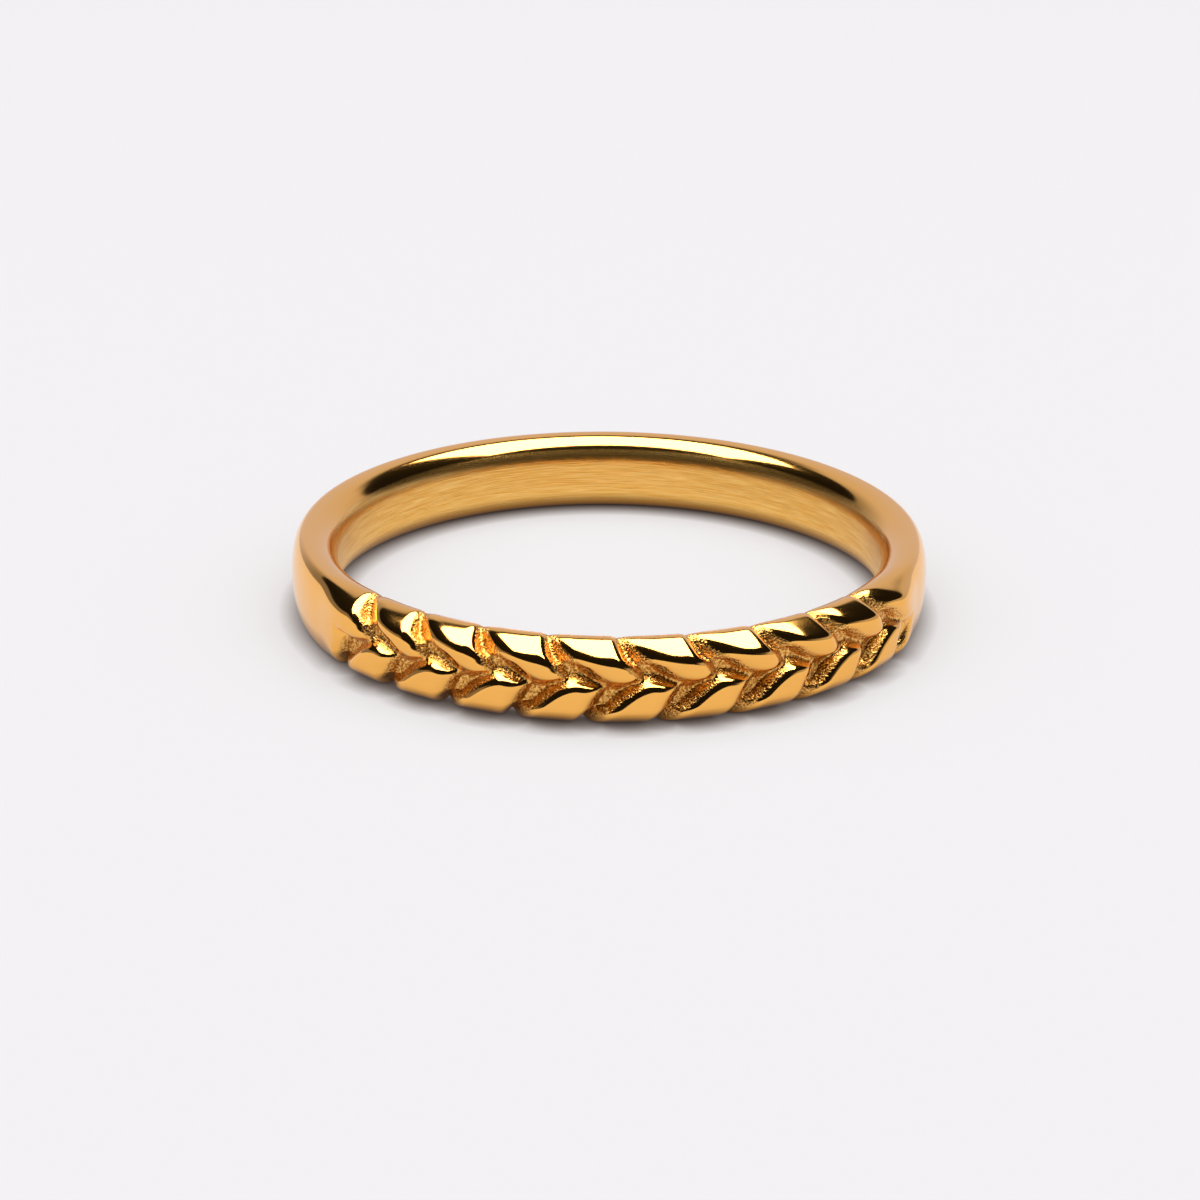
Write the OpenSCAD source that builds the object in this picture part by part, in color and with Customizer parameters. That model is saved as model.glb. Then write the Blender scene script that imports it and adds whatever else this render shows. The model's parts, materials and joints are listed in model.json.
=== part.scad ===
// Laurel leaf ring: a one-piece band with two rows of raised leaves across its front.
// The ring lies flat: its axis is Z, its leaves face -Y, and the origin is on the axis at the
// height of the surface that the ring lies on. Angles run from -Y towards +X.

/* [Band] */
// Inside diameter of the ring
bore_d = 17.3; // [15:0.1:21]
// Width of the band along the finger, which is its height as it lies
band_w = 2.6; // [2.4:0.1:3]
// Thickness of the band from the finger to its outside
band_t = 1.46; // [1.36:0.02:1.7]
// Thickness from the finger to the highest line of the plain band
crest_t = 0.99; // [0.9:0.01:1.1]
// Squareness outside the highest line: 2 is round and 4 is nearly flat
side_power = 2.3; // [2:0.1:4]
// Squareness inside it, down to the bevel
lip_power = 2.5; // [1.6:0.1:3]

/* [Inside edge] */
// Width of the bevel round each mouth of the finger hole
bevel_w = 0.2; // [0.15:0.01:0.22]
// Length of that bevel along the finger
bevel_h = 0.34; // [0.34:0.01:0.45]
// How far the outer edge of the bevel lies below the highest line of the band
edge_drop = 0.34; // [0.25:0.01:0.34]

/* [Leaves] */
// Number of whole leaves in the upper row; the lower row has one more
leaf_count = 8; // [4:1:8]
// Distance from one leaf to the next round the outside of the band
leaf_pitch = 2.22; // [2:0.02:2.3]
// How far a leaf sweeps along the band from its root at the rim to its tip
leaf_sweep = 1.3; // [0.8:0.1:1.6]
// How sharply that sweep curves: 1 is a straight leaf
sweep_power = 1.9; // [1.2:0.1:2.5]
// How far the leaves stand proud of the plain band
leaf_rise = 0.17; // [0:0.01:0.2]
// Radius of a leaf's shoulder, between its upright side and its sloping top
shoulder_r = 0.47; // [0.3:0.01:0.6]
// Degrees that the shoulder turns through
shoulder_turn = 50; // [40:1:60]
// Radius of a leaf's sloping top
top_r = 1.56; // [1:0.02:2]
// Degrees that the top turns through
top_turn = 22; // [16:1:28]

/* [Leaf sides] */
// Distance over which a leaf rises from the valley on its left, near its tip
left_side = 1.3; // [0.8:0.05:1.4]
// The same distance at the rim, as a share of that
left_rim = 0.7; // [0.3:0.05:1]
// Distance over which a leaf falls to the valley on its right
right_side = 0.6; // [0.4:0.05:0.9]
// How fast a side steepens towards its foot: 1 is a straight side
side_round = 2.8; // [2:0.1:4]
// Distance over which a leaf's tip falls to the middle valley
tip_length = 0.4; // [0.3:0.05:0.7]

/* [Valleys] */
// Depth of the valleys between the leaves
valley_depth = 0.44; // [0.2:0.02:0.5]
// Width of a valley's floor where it meets the middle valley
valley_floor = 0.44; // [0.1:0.02:0.5]
// How fast that floor narrows towards the rim: 1 is an even wedge
floor_power = 2; // [1:0.5:3]
// Depth of the middle valley between the rows, as a share of the others
middle_share = 0.42; // [0.3:0.02:1]
// Width of the middle valley's floor
middle_floor = 0.04; // [0:0.02:0.2]
// Distance of the middle valley above the middle of the band
middle_rise = 0.1; // [0:0.02:0.2]
// Height of the wave in the middle valley, which rises between upper leaves
middle_wave = 0.1; // [0:0.02:0.2]
// Distance from that wave's top to the end of an upper valley
wave_shift = 0.25; // [0:0.05:0.6]
// Depth of a valley where it reaches the rim, as a share of its full depth
rim_share = 0.15; // [0:0.05:0.5]

/* [Hidden] */
gold = "#E3A84C";

bore_r = bore_d / 2;
edge_r = bore_r + bevel_w;
crest_r = bore_r + crest_t;
outer_r = bore_r + band_t;
half_w = band_w / 2;
edge_z = half_w - edge_drop;

// Length of arc round the outside for one degree, and the length of the whole leaf pattern
arc = outer_r * PI / 180;
pattern_len = (leaf_count + 1) * leaf_pitch + leaf_sweep;
// Plain metal that blends into the band beyond each end of the pattern, and how far the blend
// reaches in over the first and last leaves
blend_len = 1.6;
blend_in = 0.4;
leaves_turn = (pattern_len / 2 + blend_len) / arc;
// Where the first upper and the first lower valley start at the rim
upper_start = -leaf_count / 2 * leaf_pitch - leaf_sweep / 2;
lower_start = upper_start - leaf_pitch / 2;

// Shares of the outline at which the valleys of the upper and the lower row have risen to their
// depth at the rim, the share that this rise takes, and the share from which they run out
upper_rim = 0.9;
lower_rim = 0.95;
rim_fade = 0.26;
run_out = 0.85;
// The middle valley starts this far before the first lower valley's tip, and deepens over this
// length. It ends this far past the last upper valley's tip, and fades over this length
middle_lead = 1.1;
middle_deepen = 0.6;
middle_past = 0.6;
middle_fade = 1;
middle_first = lower_start + leaf_sweep - middle_lead;
middle_last = upper_start + leaf_count * leaf_pitch + leaf_sweep + middle_past;
// The last lower valley has faded into the band this far past its tip, and over this length
last_past = 0.55;
last_fade = 1.8;
last_end = lower_start + (leaf_count + 1) * leaf_pitch + leaf_sweep + last_past;
// Half the height over which the two rows blend at the middle valley
row_blend = 0.15;

// Steps of each stretch of an outline, and of the leaf surface along and across the band. The
// rows across are an odd number, so that the lower half's rows have twins in the upper half
outline_steps = 10;
leaf_columns = 128;
leaf_rows = 37;
// Share of the outline to each side of a point from which its outward direction is taken
chord = 0.008;
// The outlines run on past the bevel's edge by this many degrees, which the bevel cuts off
spare = 8;
// The leaf surface reaches this many degrees into the plain band at each end and sinks this far
// inside it, over this many degrees
seam_turn = 0.3;
seam_inset = 0.03;
seam_slope = 2;
// Metal left inside the finger hole, which is cut last, and how far the cut runs past each face
allowance = 0.3;
overcut = 1;

// One half of the plain band's outline, [radius, height above the middle], from the outermost
// point over the crest to the bevel: a superellipse outside the crest and another inside it
lip_fall = pow(1 - pow(edge_z / half_w, lip_power), 1 / lip_power);
lip_turn = asin(pow(lip_fall, lip_power / 2));
function lip(t) =
    [crest_r - (crest_r - edge_r) / lip_fall * pow(sin(t), 2 / lip_power),
     half_w * pow(cos(t), 2 / lip_power)];
band_outline = concat(
    [for (i = [0 : outline_steps]) let (t = 90 * i / outline_steps)
        [crest_r + (outer_r - crest_r) * pow(cos(t), 2 / side_power),
         half_w * pow(sin(t), 2 / side_power)]],
    [for (i = [1 : outline_steps]) lip(lip_turn * i / outline_steps)],
    [lip(lip_turn + spare)]);

// One half of the outline over a leaf: an upright side, the shoulder, the top, and the rim's arc,
// which turns over the crest and ends at the bevel's edge. Tilts are measured from upright
top_tilt = 90 - shoulder_turn;
rim_tilt = top_tilt - top_turn;
leaf_r = outer_r + leaf_rise;
rim_at = leaf_r - shoulder_r * (1 - sin(top_tilt)) - top_r * (sin(top_tilt) - sin(rim_tilt));
rim_reach = (rim_at - edge_r) * sin(rim_tilt) + edge_drop;
rim_square = pow(rim_at - edge_r, 2) + pow(edge_drop, 2);
rim_r = rim_square
    / (rim_reach + sqrt(pow(rim_reach, 2) - rim_square * pow(sin(rim_tilt), 2)));
rim_end = -acos(1 - edge_drop / rim_r);
side_top = half_w - shoulder_r * cos(top_tilt) - top_r * (cos(rim_tilt) - cos(top_tilt))
    - rim_r * (1 - cos(rim_tilt));
function arc_points(r, z, radius, from, to) =
    [for (i = [1 : outline_steps]) let (tilt = from + (to - from) * i / outline_steps)
        [r + radius * sin(tilt), z + radius * cos(tilt)]];
shoulder_at = leaf_r - shoulder_r;
rim_middle = [edge_r - rim_r * sin(rim_end), half_w - rim_r];
leaf_outline = concat(
    [[leaf_r, 0], [leaf_r, side_top]],
    arc_points(shoulder_at, side_top, shoulder_r, 90, top_tilt),
    arc_points(shoulder_at + (shoulder_r - top_r) * sin(top_tilt),
               side_top + (shoulder_r - top_r) * cos(top_tilt), top_r, top_tilt, rim_tilt),
    arc_points(rim_middle[0], rim_middle[1], rim_r, rim_tilt, rim_end),
    [rim_middle + rim_r * [sin(rim_end - spare), cos(rim_end - spare)]]);

// Distance along an outline to each of its points, and its length to the bevel's edge
function run(points) = [for (i = 0, s = 0; i < len(points);
    s = s + (i + 1 < len(points) ? norm(points[i + 1] - points[i]) : 0), i = i + 1) s];
function length_of(points) = run(points)[len(points) - 2];
girth = length_of(leaf_outline);

// Coordinate n of an outline against the share of its length, as a table for lookup()
function table(points, n) =
    let (at = run(points), whole = length_of(points))
    [for (i = [0 : len(points) - 1]) [at[i] / whole, points[i][n]]];
band_r = table(band_outline, 0);
band_z = table(band_outline, 1);
leaf_outline_r = table(leaf_outline, 0);
leaf_outline_z = table(leaf_outline, 1);

// The outline at share w from its outermost line, up or down, and its outward direction. The
// swell is 0 on the plain band and 1 on the leaves
function mixed(w, swell, plain, leafy) =
    (1 - swell) * lookup(abs(w), plain) + swell * lookup(abs(w), leafy);
function outline(w, swell) =
    [mixed(w, swell, band_r, leaf_outline_r), sign(w) * mixed(w, swell, band_z, leaf_outline_z)];
function outward(w, swell) =
    let (d = outline(w + chord, swell) - outline(w - chord, swell)) [d[1], -d[0]] / norm(d);

// 0 below a, 1 above b, and a smooth step between them
function step(a, b, x) = let (t = min(1, max(0, (x - a) / (b - a)))) t * t * (3 - 2 * t);

// Height of a leaf at share q of the way up its side: steep at the foot and level at the top
function bulge(q) = 1 - pow(1 - min(1, max(0, q)), side_round);

// Height of the middle valley at x, the distance round the outside of the band
function middle(x) = middle_rise
    + middle_wave * cos(360 * (x - upper_start - leaf_sweep + wave_shift) / leaf_pitch);

// Leaf height between the valleys of one row at x and at the distance v along the outline. Each
// valley starts at the rim and sweeps towards +x near the middle. A leaf rises slowly from the
// valley on its left and falls fast to the one on its right, measured square to the valleys
function row_height(x, v, start, valleys) =
    let (t = 1 - min(1, abs(v - middle_rise) / girth),
         u = x - start - leaf_sweep * pow(t, sweep_power),
         k = min(valleys - 1, max(-1, floor(u / leaf_pitch))),
         lean = leaf_sweep * sweep_power / girth * pow(t, sweep_power - 1),
         square = sqrt(1 + lean * lean),
         foot = valley_floor / 2 * pow(t, floor_power),
         slow = left_side * (left_rim + (1 - left_rim) * t),
         left = bulge(((u - k * leaf_pitch) / square - foot) / slow),
         right = bulge((((k + 1) * leaf_pitch - u) / square - foot) / right_side))
    k < 0 ? right : k < valleys - 1 ? left * right : left;

// Leaf height beside the middle valley, 1 where that valley hasn't started or has ended
function middle_height(x, v) =
    let (here = step(middle_first, middle_first + middle_deepen, x)
                * step(middle_last, middle_last - middle_fade, x))
    1 - middle_share * here * (1 - bulge((abs(v - middle(x)) - middle_floor / 2) / tip_length));

// Depth of the surface below the leaf tops, as a share of the valley depth
function valley_at(x, v) =
    let (upper = step(-row_blend, row_blend, v - middle(x)),
         row = upper * row_height(x, v, upper_start, leaf_count + 1)
               + (1 - upper) * row_height(x, v, lower_start, leaf_count + 2),
         share = abs(v) / girth,
         rim = v > 0 ? upper_rim : lower_rim,
         fade = (rim_share + (1 - rim_share) * step(rim, rim - rim_fade, share))
                * step(1, run_out, share) * step(last_end, last_end - last_fade, x))
    (1 - row * middle_height(x, v)) * fade;

// A point of the leaf surface at angle a and share w of the outline, cut by the valleys
function leaf_point(a, w) =
    let (x = a * arc,
         swell = step(pattern_len / 2 + blend_len, pattern_len / 2 - blend_in, abs(x)),
         p = outline(w, swell), n = outward(w, swell),
         inset = seam_inset * step(leaves_turn - seam_slope, leaves_turn, abs(a)),
         cut = valley_depth * valley_at(x, w * girth) + inset)
    on_ring(a, p[0] - cut * n[0], p[1] - cut * n[1]);

// A point at angle a, radius r and height z above the middle of the band
function on_ring(a, r, z) = [r * sin(a), -r * cos(a), half_w + z];

// The part of the ring that carries the leaves: a grid of columns round the ring, each with one
// point per row from below the lower bevel's edge over the outside to above the upper one's, half
// a row past each, then two points inside the hole
module leaf_section() {
    reach = leaves_turn + seam_turn;
    past = leaf_rows / (leaf_rows - 1);
    inner_r = bore_r - allowance + seam_inset;
    inner_z = edge_z - seam_inset;
    loop = leaf_rows + 3;
    points = [for (i = [0 : leaf_columns]) let (a = reach * (2 * i / leaf_columns - 1))
        each concat(
            [for (j = [0 : leaf_rows]) leaf_point(a, past * (2 * j / leaf_rows - 1))],
            [on_ring(a, inner_r, inner_z), on_ring(a, inner_r, -inner_z)])];
    sides = [for (i = [0 : leaf_columns - 1], j = [0 : loop - 1])
        let (p = i * loop + j, q = i * loop + (j + 1) % loop)
        each [[p, q, p + loop], [q, q + loop, p + loop]]];
    // Each end is closed by strips between a row of the lower half and its twin in the upper half
    last = leaf_columns * loop;
    ends = [for (j = [-1 : floor(leaf_rows / 2) - 1])
        let (low = (j + loop) % loop, high = leaf_rows - j)
        each [[high, high - 1, j + 1, low],
              [last + low, last + j + 1, last + high - 1, last + high]]];
    polyhedron(points, concat(sides, ends));
}

// The plain band behind the leaves: the outline turned about the axis
module plain_band() {
    upper = [for (p = band_outline) [p[0], half_w + p[1]]];
    lower = [for (i = [len(band_outline) - 1 : -1 : 1])
        [band_outline[i][0], half_w - band_outline[i][1]]];
    inner_r = bore_r - allowance;
    rotate([0, 0, leaves_turn - 90])
        rotate_extrude(angle = 360 - 2 * leaves_turn, $fn = 360)
            polygon(concat([[inner_r, half_w - edge_z]], lower, upper,
                           [[inner_r, half_w + edge_z]]));
}

// The finger hole with a bevel at each mouth, drawn out past both faces
module finger_hole() {
    mouth_r = edge_r + (edge_drop + overcut) * bevel_w / bevel_h;
    wall_z = edge_drop + bevel_h;
    rotate_extrude($fn = 360)
        polygon([[0, -overcut], [mouth_r, -overcut], [bore_r, wall_z],
                 [bore_r, band_w - wall_z], [mouth_r, band_w + overcut], [0, band_w + overcut]]);
}

module laurel_ring() {
    color(gold)
        difference() {
            union() {
                plain_band();
                leaf_section();
            }
            finger_hole();
        }
}

laurel_ring();
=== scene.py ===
"""Laurel leaf ring: a polished gold-plated band, cast in one piece, with two rows of raised leaves.

Lengths of the ring are in millimetres up to its mesh, which is in metres. x runs round the outside
from the middle of the leaves to the side that their tips point to, and v runs up across the band
from its middle. Angles round the ring run from -Y towards +X.
"""

import json
import math

import bpy
import numpy as np
from mathutils import Matrix, Vector


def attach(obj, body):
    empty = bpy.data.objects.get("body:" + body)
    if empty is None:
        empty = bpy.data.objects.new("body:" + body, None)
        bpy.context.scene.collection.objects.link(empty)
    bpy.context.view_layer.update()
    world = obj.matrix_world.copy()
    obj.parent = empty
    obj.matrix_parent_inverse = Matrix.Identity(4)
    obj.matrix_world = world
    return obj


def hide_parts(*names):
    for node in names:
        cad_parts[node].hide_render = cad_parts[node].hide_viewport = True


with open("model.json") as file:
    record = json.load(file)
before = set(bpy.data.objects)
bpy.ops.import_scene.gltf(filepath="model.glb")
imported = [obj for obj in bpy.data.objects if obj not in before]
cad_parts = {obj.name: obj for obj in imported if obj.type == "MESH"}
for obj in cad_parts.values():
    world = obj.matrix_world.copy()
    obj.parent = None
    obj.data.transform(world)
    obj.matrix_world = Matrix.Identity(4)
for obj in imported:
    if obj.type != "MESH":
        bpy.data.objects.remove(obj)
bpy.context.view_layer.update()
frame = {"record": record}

MM = 0.001

# Section of the band, as in the part's source
BORE_R = frame["record"]["mounts"][0]["dims"]["r_mm"]  # radius of the finger hole
BAND_W = 2.6       # width along the finger, which is the height of the ring as it lies
BAND_T = 1.46      # thickness from the finger to the outside
CREST_T = 0.99     # thickness from the finger to the highest line
SIDE_POWER = 2.3   # squareness outside the highest line: 2 is round and 4 is nearly flat
LIP_POWER = 2.5    # squareness inside it, down to the mouth's edge
MOUTH_W = 0.2      # width of each mouth of the finger hole
EDGE_DROP = 0.34   # depth of the mouth's edge below the highest line

# Radii of the mouth's edge, the highest line and the outside, and heights from the band's middle
EDGE_R = BORE_R + MOUTH_W
CREST_R = BORE_R + CREST_T
OUTER_R = BORE_R + BAND_T
HALF_W = BAND_W / 2
EDGE_Z = HALF_W - EDGE_DROP

# Leaves and their section, as in the source, apart from the rise: that is 0.01 less, because a
# finer surface reaches further out between the same points
LEAF_COUNT = 8      # whole leaves in the upper row; the lower row has one more
LEAF_PITCH = 2.22   # distance from one leaf to the next
LEAF_SWEEP = 1.3    # how far a leaf sweeps along the band from the rim to its tip
SWEEP_POWER = 1.9   # how sharply that sweep curves: 1 is a straight leaf
LEAF_RISE = 0.16    # how far the leaves stand proud of the plain band
SHOULDER_R = 0.47   # radius of a leaf's shoulder, between its upright side and its sloping top
SHOULDER_TURN = 50  # degrees that the shoulder turns through
TOP_R = 1.56        # radius of the sloping top
TOP_TURN = 22       # degrees that the top turns through

# Sides of the leaves. They narrow more towards the rim than in the source, and the lower row's
# left sides are narrower than the upper row's
LEFT_UPPER = 1.3    # distance over which an upper leaf rises from the valley on its left
LEFT_LOWER = 0.65   # the same distance on a lower leaf
LEFT_RIM = 0.45     # either distance at the rim, as a share of what it is at the tip
RIGHT_SIDE = 0.6    # distance over which a leaf falls to the valley on its right
RIGHT_RIM = 0.5     # that distance at the rim, as a share of what it is at the tip
SIDE_ROUND = 2.8    # how fast a side steepens towards its foot: 1 is a straight side
TIP_LENGTH = 0.4    # distance over which a leaf's tip falls to the middle valley

# Valleys, as in the source
VALLEY_DEPTH = 0.44  # depth of the valleys between the leaves
VALLEY_FLOOR = 0.44  # width of a valley's floor where it meets the middle valley
FLOOR_POWER = 2      # how fast that floor narrows towards the rim: 1 is an even wedge
MIDDLE_SHARE = 0.42  # depth of the middle valley between the rows, as a share of the others
MIDDLE_FLOOR = 0.04  # width of the middle valley's floor
MIDDLE_RISE = 0.1    # height of the middle valley above the middle of the band
MIDDLE_WAVE = 0.1    # height of its wave, which rises between the upper leaves
WAVE_SHIFT = 0.25    # distance from the wave's top to the end of an upper valley
ROW_BLEND = 0.15     # half the height over which the two rows blend at the middle valley

# Ends of the valleys at the rims, as shares of the outline from its outermost point to the mouth's
# edge. The valleys shallow out over a longer stretch than in the source
RIM_SHARE = 0.12  # depth of a valley at the rim, as a share of its full depth
UPPER_RIM = 0.9   # where the upper row's valleys come to that depth
LOWER_RIM = 0.95  # where the lower row's valleys do
RIM_FADE = 0.5    # stretch over which they shallow to it
RUN_OUT = 0.85    # where they begin to run out to nothing at the mouth's edge

# Ends of the pattern. The leaves blend into the band over a shorter length than in the source
MIDDLE_LEAD = 1.1    # start of the middle valley before the first lower valley's tip
MIDDLE_DEEPEN = 0.6  # length over which it deepens
MIDDLE_PAST = 0.6    # end of the middle valley past the last upper valley's tip
MIDDLE_FADE = 1      # length over which it fades
LAST_PAST = 0.55     # end of the last lower valley past its own tip
LAST_FADE = 1.8      # length over which it fades
BLEND_OUT = 1.25     # length over which the leaves' section blends into the band past the pattern
BLEND_IN = 0.8       # length of that blend within the pattern

# Length of the pattern, and along x the first valley of each row at the rim, the middle valley's
# ends and the last lower valley's end
PATTERN = (LEAF_COUNT + 1) * LEAF_PITCH + LEAF_SWEEP
UPPER_START = -LEAF_COUNT / 2 * LEAF_PITCH - LEAF_SWEEP / 2
LOWER_START = UPPER_START - LEAF_PITCH / 2
MIDDLE_FIRST = LOWER_START + LEAF_SWEEP - MIDDLE_LEAD
MIDDLE_LAST = UPPER_START + LEAF_COUNT * LEAF_PITCH + LEAF_SWEEP + MIDDLE_PAST
LAST_END = LOWER_START + (LEAF_COUNT + 1) * LEAF_PITCH + LEAF_SWEEP + LAST_PAST

# Mouths and wall of the finger hole. The mouths are straight bevels in the source and rounded here
WALL_Z = 0.4        # half the height of the straight wall
MOUTH_LEAST = 0.05  # least height above the wall at which a mouth's curve bends
NEAR_EDGE = 0.985   # share of the outline from which its direction at the edge is taken
MOUTH_ROWS = (0.08, 0.22, 0.36, 0.5, 0.64, 0.78, 0.9, 1)  # from just past the edge to the wall
WALL_ROWS = (0.6, 0.2, -0.2, -0.6)  # heights down the wall, as shares of WALL_Z
DULL_POWER = 0.2    # how soon a mouth is dulled from its edge: 1 is evenly, and 0 is at once

# Cast finish on the sides of the leaves: it begins and is full where these shares of a side's
# height are still missing. At the rim it fades out between the shares of the outline in CAST_RIM
CAST_UPPER = (0.3, 0.5)
CAST_LOWER = (0.1, 0.3)
CAST_RIGHT = (0.25, 0.45)
CAST_RIM = (1.0, 0.8)

# Points of the surface round the leaves, round the plain band and across the outside, and the
# share of the outline to each side of a point from which its outward direction is taken
FRONT_COLUMNS = 560
BACK_COLUMNS = 90
SECTION_ROWS = 121
CHORD = 0.008


def step(a, b, x):
    """0 below a, 1 above b, and a smooth cubic step between them; a may be the larger."""
    t = np.clip((x - a) / (b - a), 0, 1)
    return t * t * (3 - 2 * t)


def outline(r, z):
    """How far along it each point of half a section is, as a share; the points; and its length."""
    run = np.concatenate([[0], np.cumsum(np.hypot(np.diff(r), np.diff(z)))])
    return run / run[-1], (r, z), run[-1]


def band_outline(count=600):
    """Upper half of the plain band, from its outermost point over the highest line to the mouth's
    edge: one superellipse outside the highest line and one inside it."""
    t = np.linspace(0, math.pi / 2, count)
    side = np.stack([CREST_R + (OUTER_R - CREST_R) * np.cos(t).clip(0) ** (2 / SIDE_POWER),
                     HALF_W * np.sin(t) ** (2 / SIDE_POWER)])
    fall = (1 - (EDGE_Z / HALF_W) ** LIP_POWER) ** (1 / LIP_POWER)
    t = np.linspace(0, math.asin(fall ** (LIP_POWER / 2)), count)[1:]
    lip = np.stack([CREST_R - (CREST_R - EDGE_R) / fall * np.sin(t) ** (2 / LIP_POWER),
                    HALF_W * np.cos(t) ** (2 / LIP_POWER)])
    return outline(*np.concatenate([side, lip], 1))


def leaf_outline(count=300):
    """Upper half of a leaf's ridge: an upright side, a tight shoulder arc, a wide arc that slopes
    up to the highest line, and the rim's arc, which ends at the mouth's edge."""
    low = math.radians(90 - SHOULDER_TURN)
    high = math.radians(90 - SHOULDER_TURN - TOP_TURN)
    outer = OUTER_R + LEAF_RISE
    top_r = outer - SHOULDER_R * (1 - math.sin(low)) - TOP_R * (math.sin(low) - math.sin(high))
    rise = SHOULDER_R * math.cos(low) + TOP_R * (math.cos(high) - math.cos(low))
    # The rim's arc goes on from the wide one at top_r and turns over the highest line. Its radius
    # is the smaller one that brings it reach inwards and EDGE_DROP down to the mouth's edge
    reach, lean = top_r - EDGE_R, math.sin(high)
    half, square = reach * lean + EDGE_DROP, reach ** 2 + EDGE_DROP ** 2
    rim_r = square / (half + math.sqrt(half ** 2 - square * lean ** 2))
    rim_end = math.acos(1 - EDGE_DROP / rim_r)
    side_top = HALF_W - rise - rim_r * (1 - math.cos(high))
    arcs = [(outer - SHOULDER_R, side_top, SHOULDER_R, math.pi / 2, low),
            (outer - SHOULDER_R + (SHOULDER_R - TOP_R) * math.sin(low),
             side_top + (SHOULDER_R - TOP_R) * math.cos(low), TOP_R, low, high),
            (EDGE_R + rim_r * math.sin(rim_end), HALF_W - rim_r, rim_r, high, -rim_end)]
    r, z = [np.full(count, outer)], [np.linspace(0, side_top, count, endpoint=False)]
    for middle_r, middle_z, radius, start, end in arcs:
        tilt = np.linspace(start, end, count)
        r.append(middle_r + radius * np.sin(tilt))
        z.append(middle_z + radius * np.cos(tilt))
    return outline(np.concatenate(r), np.concatenate(z))


BAND_SHARE, BAND_LINE, _ = band_outline()
LEAF_SHARE, LEAF_LINE, GIRTH = leaf_outline()


def section(w, swell):
    """Radius and height at share w of the outline, from -1 at the lower mouth to 1 at the upper
    one, between the band's section and the leaves' section, which swell mixes."""
    r, z = [(1 - swell) * np.interp(np.abs(w), BAND_SHARE, band)
            + swell * np.interp(np.abs(w), LEAF_SHARE, leaf)
            for band, leaf in zip(BAND_LINE, LEAF_LINE)]
    return r, np.sign(w) * z


def outward(w, swell):
    """Unit direction out of the section at w, square to a short chord across it."""
    r1, z1 = section(w + CHORD, swell)
    r0, z0 = section(w - CHORD, swell)
    length = np.hypot(r1 - r0, z1 - z0)
    return (z1 - z0) / length, -(r1 - r0) / length


def bulge(q):
    """Height of a leaf at a share q of the way up its side: steep at the foot, level at the top."""
    return 1 - (1 - np.clip(q, 0, 1)) ** SIDE_ROUND


def middle(x):
    """Height of the middle valley: a cosine wave as long as a leaf."""
    return MIDDLE_RISE + MIDDLE_WAVE * np.cos(
        2 * math.pi * (x - UPPER_START - LEAF_SWEEP + WAVE_SHIFT) / LEAF_PITCH)


def row_sides(x, v, start, valleys, left_side):
    """How far a leaf has risen from the valley on its left and from the one on its right, 0 to 1.
    t falls from 1 at the middle valley to about 0 at the rim, and each valley sweeps towards +x by
    a power of t. The left side rises slowly and the right side falls fast, and distances are taken
    square to the valleys."""
    t = 1 - np.clip(np.abs(v - MIDDLE_RISE) / GIRTH, 0, 1)
    u = x - start - LEAF_SWEEP * t ** SWEEP_POWER
    k = np.clip(np.floor(u / LEAF_PITCH), -1, valleys - 1)
    square = np.sqrt(1 + (LEAF_SWEEP * SWEEP_POWER / GIRTH * t ** (SWEEP_POWER - 1)) ** 2)
    foot = VALLEY_FLOOR / 2 * t ** FLOOR_POWER
    slow = left_side * (LEFT_RIM + (1 - LEFT_RIM) * t)
    left = bulge(((u - k * LEAF_PITCH) / square - foot) / slow)
    fast = RIGHT_SIDE * (RIGHT_RIM + (1 - RIGHT_RIM) * t)
    right = bulge((((k + 1) * LEAF_PITCH - u) / square - foot) / fast)
    return np.where(k < 0, 1, left), np.where(k < valleys - 1, right, 1)


def valley_at(x, v):
    """Depth below the leaf ridges as a share of the valley depth, and the share of cast finish,
    which covers the valleys and the lower part of the leaves' sides. The depth is 1 less the height
    of the sides, cut by the middle valley, and fades towards the rims and the pattern's far end."""
    upper = step(-ROW_BLEND, ROW_BLEND, v - middle(x))
    rows = [row_sides(x, v, UPPER_START, LEAF_COUNT + 1, LEFT_UPPER),
            row_sides(x, v, LOWER_START, LEAF_COUNT + 2, LEFT_LOWER)]
    row, left, right = [upper * a + (1 - upper) * b for a, b in zip(
        *[(left * right, left, right) for left, right in rows])]
    tip = bulge((np.abs(v - middle(x)) - MIDDLE_FLOOR / 2) / TIP_LENGTH)
    here = (step(MIDDLE_FIRST, MIDDLE_FIRST + MIDDLE_DEEPEN, x)
            * step(MIDDLE_LAST, MIDDLE_LAST - MIDDLE_FADE, x))
    share = np.abs(v) / GIRTH
    rim = np.where(v > 0, UPPER_RIM, LOWER_RIM)
    deep = step(rim, rim - RIM_FADE, share)
    last = step(LAST_END, LAST_END - LAST_FADE, x)
    fade = (RIM_SHARE + (1 - RIM_SHARE) * deep) * step(1, RUN_OUT, share) * last
    cast_left = (upper * step(*CAST_UPPER, 1 - left) * step(*CAST_RIM, share)
                 + (1 - upper) * step(*CAST_LOWER, 1 - left) * deep)
    cast_right = step(*CAST_RIGHT, 1 - right) * step(*CAST_RIM, share)
    cast = np.maximum(cast_left, cast_right) * last
    return (1 - row * (1 - MIDDLE_SHARE * here * (1 - tip))) * fade, cast


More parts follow.
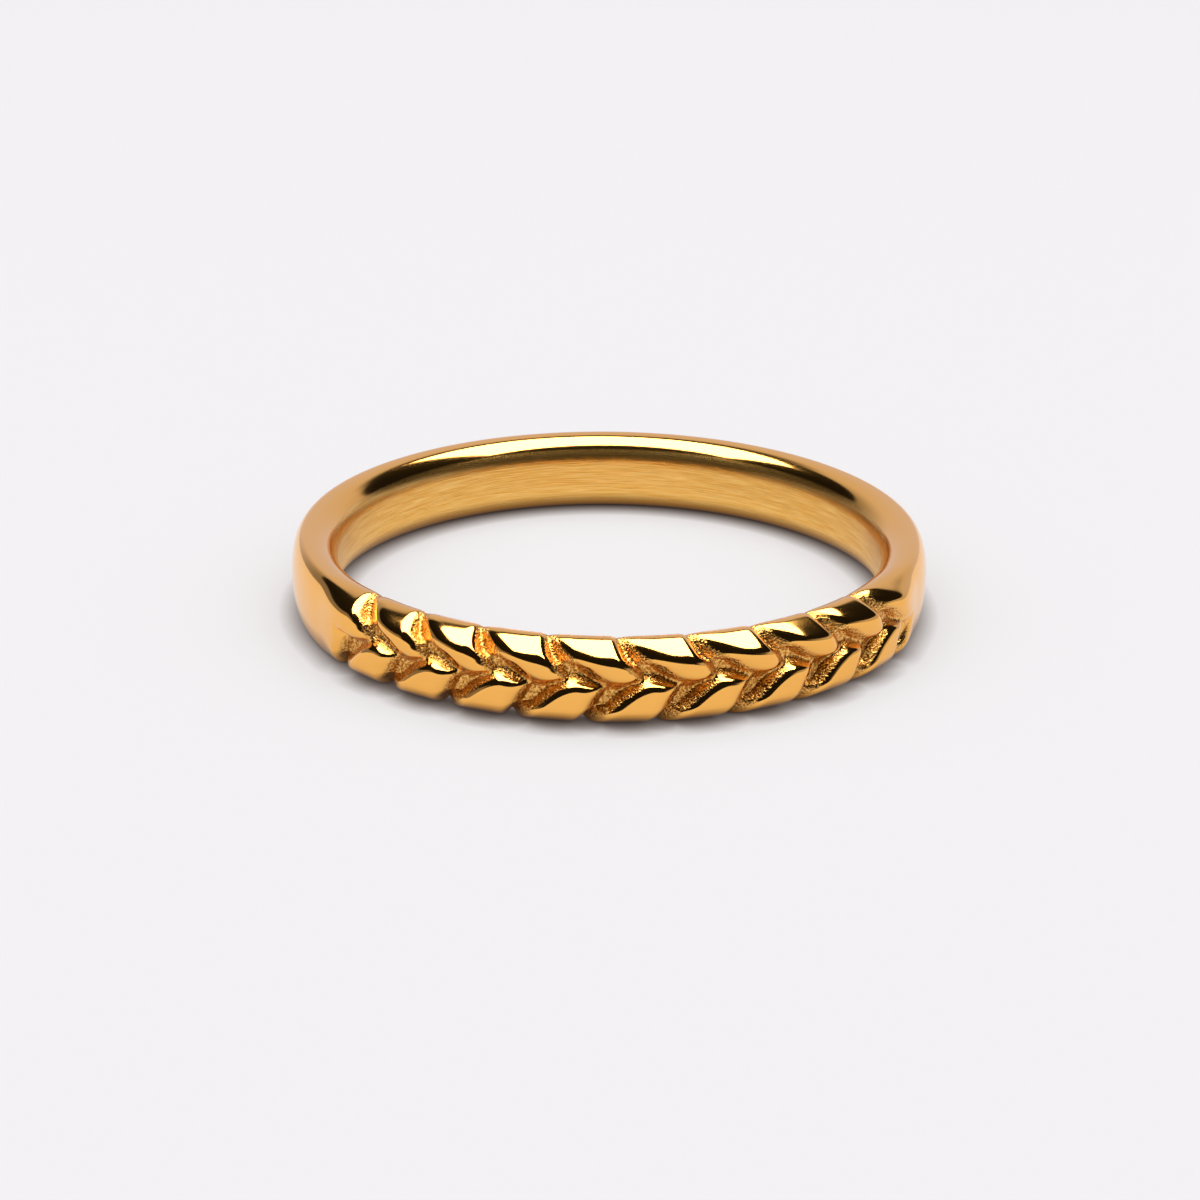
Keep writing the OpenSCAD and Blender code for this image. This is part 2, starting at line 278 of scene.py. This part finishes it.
def inner_rows(swell):
    """Rows inside the hole, from the upper edge down the wall to the lower edge. Each mouth is a
    curve that leaves the edge in the section's own direction and meets the wall upright:
    (1-t)^2 A + 2(1-t) t B + t^2 C, where B is the point that both directions lead to."""
    edge, near = section(1.0, swell), section(NEAR_EDGE, swell)
    slope = (near[1] - edge[1]) / (near[0] - edge[0])
    turn_z = np.maximum(edge[1] - slope * (edge[0] - BORE_R), WALL_Z + MOUTH_LEAST)
    t = np.array(MOUTH_ROWS)[:, None]
    mouth_r = (1 - t) ** 2 * edge[0] + (1 - (1 - t) ** 2) * BORE_R
    mouth_z = (1 - t) ** 2 * edge[1] + 2 * (1 - t) * t * turn_z + t ** 2 * WALL_Z
    wall_z = WALL_Z * np.array(WALL_ROWS)[:, None] * np.ones_like(swell)
    return (np.concatenate([mouth_r, np.full_like(wall_z, BORE_R), mouth_r[::-1]]),
            np.concatenate([mouth_z, wall_z, -mouth_z[::-1]]))


def ring_grid():
    """Rows of points round the section by columns round the ring, in millimetres, with each
    point's shares of cast and of brushed finish. A point of the outside is the section's, sunk
    against its outward direction by the depth of the valleys there."""
    reach = (PATTERN / 2 + BLEND_OUT) / OUTER_R
    front = np.linspace(-reach, reach, FRONT_COLUMNS, endpoint=False)
    back = np.linspace(reach, 2 * math.pi - reach, BACK_COLUMNS, endpoint=False)
    a = np.concatenate([front, back])
    x = (np.mod(a + math.pi, 2 * math.pi) - math.pi) * OUTER_R
    x, w = np.meshgrid(x, np.linspace(-1, 1, SECTION_ROWS))
    swell = step(PATTERN / 2 + BLEND_OUT, PATTERN / 2 - BLEND_IN, np.abs(x))
    outside_r, outside_z = section(w, swell)
    out_r, out_z = outward(w, swell)
    depth, cast = valley_at(x, w * GIRTH)
    outside_r = outside_r - VALLEY_DEPTH * depth * out_r
    outside_z = outside_z - VALLEY_DEPTH * depth * out_z
    inner_r, inner_z = inner_rows(swell[:1])
    mouth = np.array(MOUTH_ROWS) ** DULL_POWER
    lines = np.concatenate([mouth, np.ones(len(WALL_ROWS)), mouth[::-1]])
    brushed = np.concatenate([np.zeros_like(w), lines[:, None] * np.ones_like(inner_r)])
    cast = np.concatenate([cast, np.zeros_like(inner_r)])
    r, z = np.concatenate([outside_r, inner_r]), np.concatenate([outside_z, inner_z])
    return np.stack([r * np.sin(a), -r * np.cos(a), HALF_W + z], -1), cast, brushed


def closed_mesh(name, points):
    """A mesh of quads over a grid that closes on itself in both directions."""
    rows, columns = points.shape[:2]
    i, j = np.meshgrid(np.arange(rows), np.arange(columns), indexing="ij")
    i1, j1 = (i + 1) % rows, (j + 1) % columns
    quads = np.stack([i * columns + j, i * columns + j1, i1 * columns + j1, i1 * columns + j], -1)
    mesh = bpy.data.meshes.new(name)
    mesh.vertices.add(rows * columns)
    mesh.vertices.foreach_set("co", (points * MM).astype(np.float32).ravel())
    mesh.loops.add(quads.size)
    mesh.loops.foreach_set("vertex_index", quads.astype(np.int32).ravel())
    mesh.polygons.add(rows * columns)
    mesh.polygons.foreach_set("loop_start", np.arange(0, quads.size, 4, dtype=np.int32))
    mesh.update(calc_edges=True)
    mesh.validate()
    mesh.polygons.foreach_set("use_smooth", np.ones(rows * columns, dtype=bool))
    return mesh


def point_value(mesh, name, values):
    """Stores one number a point for a material to read."""
    layer = mesh.attributes.new(name, "FLOAT", "POINT")
    layer.data.foreach_set("value", values.astype(np.float32).ravel())


def placed(name, data):
    """An object in the scene that shows a mesh or holds a camera."""
    thing = bpy.data.objects.new(name, data)
    bpy.context.scene.collection.objects.link(thing)
    return thing


def linear(code, alpha=1.0):
    """An sRGB hex colour as linear values."""
    srgb = [int(code[i:i + 2], 16) / 255 for i in (1, 3, 5)]
    return [c / 12.92 if c <= 0.04045 else ((c + 0.055) / 1.055) ** 2.4 for c in srgb] + [alpha]


def material(name):
    """A new material and its node tree, which is empty."""
    mat = bpy.data.materials.new(name)
    mat.use_nodes = True
    mat.node_tree.nodes.clear()
    return mat, mat.node_tree


def add(tree, kind, links=(), **settings):
    """Adds a node, sets its properties or named inputs, and links (output, input name) pairs."""
    node = tree.nodes.new(kind)
    for key, value in settings.items():
        if hasattr(node, key):
            setattr(node, key, value)
        else:
            node.inputs[key.replace("_", " ")].default_value = value
    for source, target in links:
        tree.links.new(source, node.inputs[target])
    return node


# Patterns of the finish, in millimetres. The real grain and the real lines are finer: both are
# drawn as coarse as they need to be to show in the picture
GRAIN_WIDTH = 1 / 14    # width of a grain of the casting
GRAIN_HEIGHT = 0.042    # height of its peaks
LINE_SPACING = 1 / 32   # distance between brushed lines across the wall
LINE_LENGTH = 1 / 0.9   # length of a brushed line round the ring
LINE_DEPTH = 0.014      # depth of the lines
LINE_POWER = 10         # power of the brushed share that cuts them, which spares the mouths
NOISE_RANGE = (0.36, 0.64)  # values of a noise that stand for its lowest and highest places

# Roughness of each finish
POLISHED = 0.1
AS_CAST = 0.22
BRUSHED = 0.32


def plated_gold():
    """Gold plating over stainless steel, cast in one piece. The wheel has polished the outside, so
    it mirrors the studio sharply. It doesn't reach the valleys, which keep the blasted grain of
    the casting, painted darker in its pits as shade and lighter on its high points as a glint.
    The wall of the finger hole is brushed, with fine lines round the ring that soften what it
    mirrors and are painted darker in their grooves as shade and lighter on their tops as sheen,
    and the mouths beside it are only dulled."""
    mat, tree = material("plated_gold")
    place = add(tree, "ShaderNodeTexCoord").outputs["Object"]
    cast = add(tree, "ShaderNodeAttribute", attribute_name="cast").outputs["Fac"]
    brush = add(tree, "ShaderNodeAttribute", attribute_name="brushed").outputs["Fac"]
    grain = add(tree, "ShaderNodeTexNoise", [(place, "Vector")],
                Scale=1 / (GRAIN_WIDTH * MM), Detail=2.0)
    along, across = 1 / (LINE_LENGTH * MM), 1 / (LINE_SPACING * MM)
    stretch = add(tree, "ShaderNodeMapping", [(place, "Vector")], Scale=(along, along, across))
    lines = add(tree, "ShaderNodeTexNoise", [(stretch.outputs["Vector"], "Vector")],
                Scale=1.0, Detail=4.0)
    # The grain and the lines are carried by the colour too: it is painted darker where they are
    # low, as shade, and lighter where they are high, as a glint on the grain and a sheen on the
    # lines
    lowest, highest = NOISE_RANGE
    pit_shade_and_glint, groove_shade_and_sheen = [add(tree, "ShaderNodeMapRange", [(noise.outputs["Fac"], "Value")],
                         From_Min=lowest, From_Max=highest).outputs["Result"]
                     for noise in (grain, lines)]
    # Painted shade in the pits of the cast grain and a painted glint on its high points
    grain_colour_with_painted_shade = add(tree, "ShaderNodeMix", [(pit_shade_and_glint, "Factor")],
               data_type="RGBA", A=linear("#BA782A"), B=linear("#FFC770"))
    # Painted shade in the grooves of the brushed lines and painted sheen on their tops
    wall = add(tree, "ShaderNodeMix", [(groove_shade_and_sheen, "Factor")],
               data_type="RGBA", A=linear("#F0B252"), B=linear("#FFD07A"))
    smooth = add(tree, "ShaderNodeMix", [(brush, "Factor"), (wall.outputs["Result"], "B")],
                 data_type="RGBA", A=linear("#FBBA5D"))
    colour = add(tree, "ShaderNodeMix", [(cast, "Factor"), (smooth.outputs["Result"], "A"),
                                         (grain_colour_with_painted_shade.outputs["Result"], "B")], data_type="RGBA")
    grain_bump = add(tree, "ShaderNodeBump", [(grain.outputs["Fac"], "Height"), (cast, "Strength")],
                     Distance=GRAIN_HEIGHT * MM)
    cut = add(tree, "ShaderNodeMath", [(brush, 0)], operation="POWER")
    cut.inputs[1].default_value = LINE_POWER
    line_bump = add(tree, "ShaderNodeBump", [(lines.outputs["Fac"], "Height"),
                                             (cut.outputs[0], "Strength"),
                                             (grain_bump.outputs["Normal"], "Normal")],
                    Distance=LINE_DEPTH * MM)
    outside = add(tree, "ShaderNodeMix", [(cast, "Factor")], A=POLISHED, B=AS_CAST)
    rough = add(tree, "ShaderNodeMix", [(brush, "Factor"), (outside.outputs["Result"], "A")],
                B=BRUSHED)
    metal = add(tree, "ShaderNodeBsdfPrincipled",
                [(line_bump.outputs["Normal"], "Normal"), (rough.outputs["Result"], "Roughness"),
                 (colour.outputs["Result"], "Base Color")], Metallic=1.0)
    add(tree, "ShaderNodeOutputMaterial", [(metal.outputs["BSDF"], "Surface")])
    return mat


def build_ring():
    """The whole ring as one closed piece."""
    points, cast, brushed = ring_grid()
    mesh = closed_mesh("laurel_ring_visual", points)
    point_value(mesh, "cast", cast)
    point_value(mesh, "brushed", brushed)
    mesh.materials.append(plated_gold())
    return placed("ring_with_leaves", mesh)


# Floor: a round sheet, whose radius is in metres. The last distance, in millimetres, is how near
# the ring a dark brown shadow is painted on the sheet
FLOOR_R = 2
FLOOR_SIDES = 96
FLOOR_GLOW = 0.53
PAINTED_SHADOW_REACH = 0.7


def plain_floor():
    """Matt white card, with a little light of its own so that the shadow on it stays soft, and a
    dark brown shadow painted into its colour and its light round the ring's edge.
    """
    mesh = bpy.data.meshes.new("floor")
    t = np.linspace(0, 2 * math.pi, FLOOR_SIDES, endpoint=False)
    rim = FLOOR_R * np.stack([np.cos(t), np.sin(t), np.zeros_like(t)], 1)
    mesh.from_pydata(rim.tolist(), [], [list(range(FLOOR_SIDES))])
    mat, tree = material("pale_sheet")
    sheet = add(tree, "ShaderNodeBsdfPrincipled", Roughness=0.9, Specular_IOR_Level=0.1,
                Emission_Strength=FLOOR_GLOW)
    # Round the ring's edge a dark brown shadow is painted into the sheet's colour and its glow,
    # standing in for the shade there and the light that the gold bounces onto it
    open_sky = add(tree, "ShaderNodeAmbientOcclusion", Distance=PAINTED_SHADOW_REACH * MM).outputs["AO"]
    for name, painted_shadow, bare in (("Base Color", "#2E2114", "#55595E"),
                              ("Emission Color", "#2A160A", "#FAEFE9")):
        painted_shadow_mix = add(tree, "ShaderNodeMix", [(open_sky, "Factor")],
                   data_type="RGBA", A=linear(painted_shadow), B=linear(bare))
        tree.links.new(painted_shadow_mix.outputs["Result"], sheet.inputs[name])
    add(tree, "ShaderNodeOutputMaterial", [(sheet.outputs["BSDF"], "Surface")])
    mesh.materials.append(mat)
    floor = placed("floor", mesh)


# Camera: the picture is PICTURE pixels wide and PICTURE_AWAY pixels away, and its middle is moved
# by SHIFT pixels. Its angles are the height above the floor, the side from the middle of the
# leaves, and the roll; its distances from the ring and its clipping are in metres
PICTURE = 1200
PICTURE_AWAY = 2791
SHIFT = (-8.7, 1.6)
SENSOR = 36.0
CAMERA_RISE = math.radians(21.54)
CAMERA_SIDE = math.radians(-4.9)
CAMERA_ROLL = math.radians(0.65)
CAMERA_AWAY = 0.090
CAMERA_CLIP = (0.001, 10)


def direction(rise, side):
    """Unit direction from the ring at a height angle and an angle round it, in radians."""
    return np.stack([np.cos(rise) * np.sin(side), -np.cos(rise) * np.cos(side), np.sin(rise)], -1)


def camera():
    """The photograph's view: above the leaves, a little from their left."""
    data = bpy.data.cameras.new("camera")
    data.sensor_width = SENSOR
    data.lens = SENSOR * PICTURE_AWAY / PICTURE
    data.shift_x, data.shift_y = [pixels / PICTURE for pixels in SHIFT]
    data.clip_start, data.clip_end = CAMERA_CLIP
    cam = placed("camera", data)
    back = Vector(direction(CAMERA_RISE, CAMERA_SIDE))
    turn = back.to_track_quat("Z", "Y") @ Matrix.Rotation(CAMERA_ROLL, 4, "Z").to_quaternion()
    cam.matrix_world = Matrix.Translation(back * CAMERA_AWAY) @ turn.to_matrix().to_4x4()
    bpy.context.scene.camera = cam


def studio_sheet(name, points, code, glow):
    """A sheet of light over a grid of points, seen only in reflections and by its light. glow is
    its strength, or an array of the strength at each point."""
    rows, columns = points.shape[:2]
    i, j = np.meshgrid(np.arange(rows - 1), np.arange(columns - 1), indexing="ij")
    k = i * columns + j
    quads = np.stack([k, k + 1, k + columns + 1, k + columns], -1).reshape(-1, 4)
    mesh = bpy.data.meshes.new(name)
    mesh.from_pydata(points.reshape(-1, 3).tolist(), [], quads.tolist())
    mat, tree = material(name)
    light = add(tree, "ShaderNodeEmission", Color=linear(code))
    if np.ndim(glow):
        point_value(mesh, "glow", glow)
        strength = add(tree, "ShaderNodeAttribute", attribute_name="glow").outputs["Fac"]
        tree.links.new(strength, light.inputs["Strength"])
    else:
        light.inputs["Strength"].default_value = glow
    add(tree, "ShaderNodeOutputMaterial", [(light.outputs["Emission"], "Surface")])
    mesh.materials.append(mat)
    sheet = placed(name, mesh)
    sheet.visible_camera = False
    return sheet


# Softbox: its height above the floor, in metres, and its corners to the right of the ring and
# behind it, as shares of that height: the front two and the back two, left before right
SOFTBOX_HEIGHT = 0.5
SOFTBOX_CORNERS = [[(-0.8, -0.3), (0.75, -0.4)], [(-0.64, 0.45), (0.4, 0.88)]]
SOFTBOX_GLOW = 7.4

# Backdrop: its distance from the ring in metres, and in degrees its span round the ring and its
# middle, which is nearly straight behind. A pair with FALL, LIT or END gives degrees from that
# middle at which the backdrop has come down, dimmed or gone dark and at which it begins to
BACKDROP_AWAY = 0.6
BACKDROP_SPAN = (36, 300)
BACKDROP_MIDDLE = 172
BACKDROP_TOP = 46           # height angle of its top in the middle
BACKDROP_CLIMB = 0.25       # degrees that the top climbs for each degree to the left
BACKDROP_LOW = 16           # height angle of its top round the sides
BACKDROP_FALL = (62, 30)
BACKDROP_LIT = (62, 22)
BACKDROP_END_RIGHT = (-136, -92)
BACKDROP_END_LEFT = (130, 110)
BACKDROP_DIM_RIGHT = 0.8    # glow of its right side, as a share of its middle
BACKDROP_DIM_LEFT = 0.35    # glow of its left side
BACKDROP_EDGE = (1, 0.8)    # shares of its height between which it goes dark at the top
BACKDROP_GRID = (133, 40)

# Fill: its distance from the ring in metres, and the height angles that it spans
FILL_AWAY = 1.2
FILL_SPAN = (2, 88)
FILL_GRID = (49, 12)
FILL_GLOW = 3.7

# Faint light of the dark room itself
ROOM_LIGHT = 0.01


def softbox():
    """A level sheet of light overhead, which the rim and the tops of the leaves mirror."""
    corners = np.array(SOFTBOX_CORNERS)
    points = SOFTBOX_HEIGHT * np.concatenate([corners, np.ones_like(corners[..., :1])], -1)
    studio_sheet("softbox", points, "#FFFDF8", SOFTBOX_GLOW)


def backdrop():
    """Part of an upright cylinder behind the ring: lit in its middle, where it is high and its top
    climbs to the left, and low and dimmer round both sides."""
    side, up = np.meshgrid(np.linspace(*BACKDROP_SPAN, BACKDROP_GRID[0]),
                           np.linspace(0, 1, BACKDROP_GRID[1]))
    off = side - BACKDROP_MIDDLE
    tall = step(*BACKDROP_FALL, np.abs(off))
    top = tall * (BACKDROP_TOP + BACKDROP_CLIMB * off) + (1 - tall) * BACKDROP_LOW
    ends = np.where(off < 0, step(*BACKDROP_END_RIGHT, off), step(*BACKDROP_END_LEFT, off))
    dim = np.where(off < 0, BACKDROP_DIM_RIGHT, BACKDROP_DIM_LEFT)
    lit = step(*BACKDROP_LIT, np.abs(off)) * (1 - dim) + dim
    a, rise = np.radians(side), np.radians(up * top)
    points = BACKDROP_AWAY * np.stack([np.sin(a), -np.cos(a), np.tan(rise)], -1)
    studio_sheet("backdrop", points, "#D9D9EC", lit * ends * step(*BACKDROP_EDGE, up))


def fill():
    """A dome of light that only the floor takes up, which keeps the shadow soft."""
    side, rise = np.meshgrid(np.radians(np.linspace(0, 360, FILL_GRID[0])),
                             np.radians(np.linspace(*FILL_SPAN, FILL_GRID[1])))
    dome = studio_sheet("fill", FILL_AWAY * direction(rise, side), "#FFFFFF", FILL_GLOW)
    dome.visible_glossy = False


def studio():
    """A softbox overhead, a backdrop behind the ring and a fill for the floor, in a dark room."""
    softbox()
    backdrop()
    fill()
    world = bpy.data.worlds.new("dark_room")
    bpy.context.scene.world = world
    world.use_nodes = True
    room = next(n for n in world.node_tree.nodes if n.type == "BACKGROUND")
    room.inputs["Color"].default_value = (ROOM_LIGHT, ROOM_LIGHT, ROOM_LIGHT, 1)
    room.inputs["Strength"].default_value = 1.0


ring = build_ring()
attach(ring, "root")
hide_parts("laurel_ring")
plain_floor()
studio()
camera()
bpy.context.scene.view_settings.view_transform = "Standard"
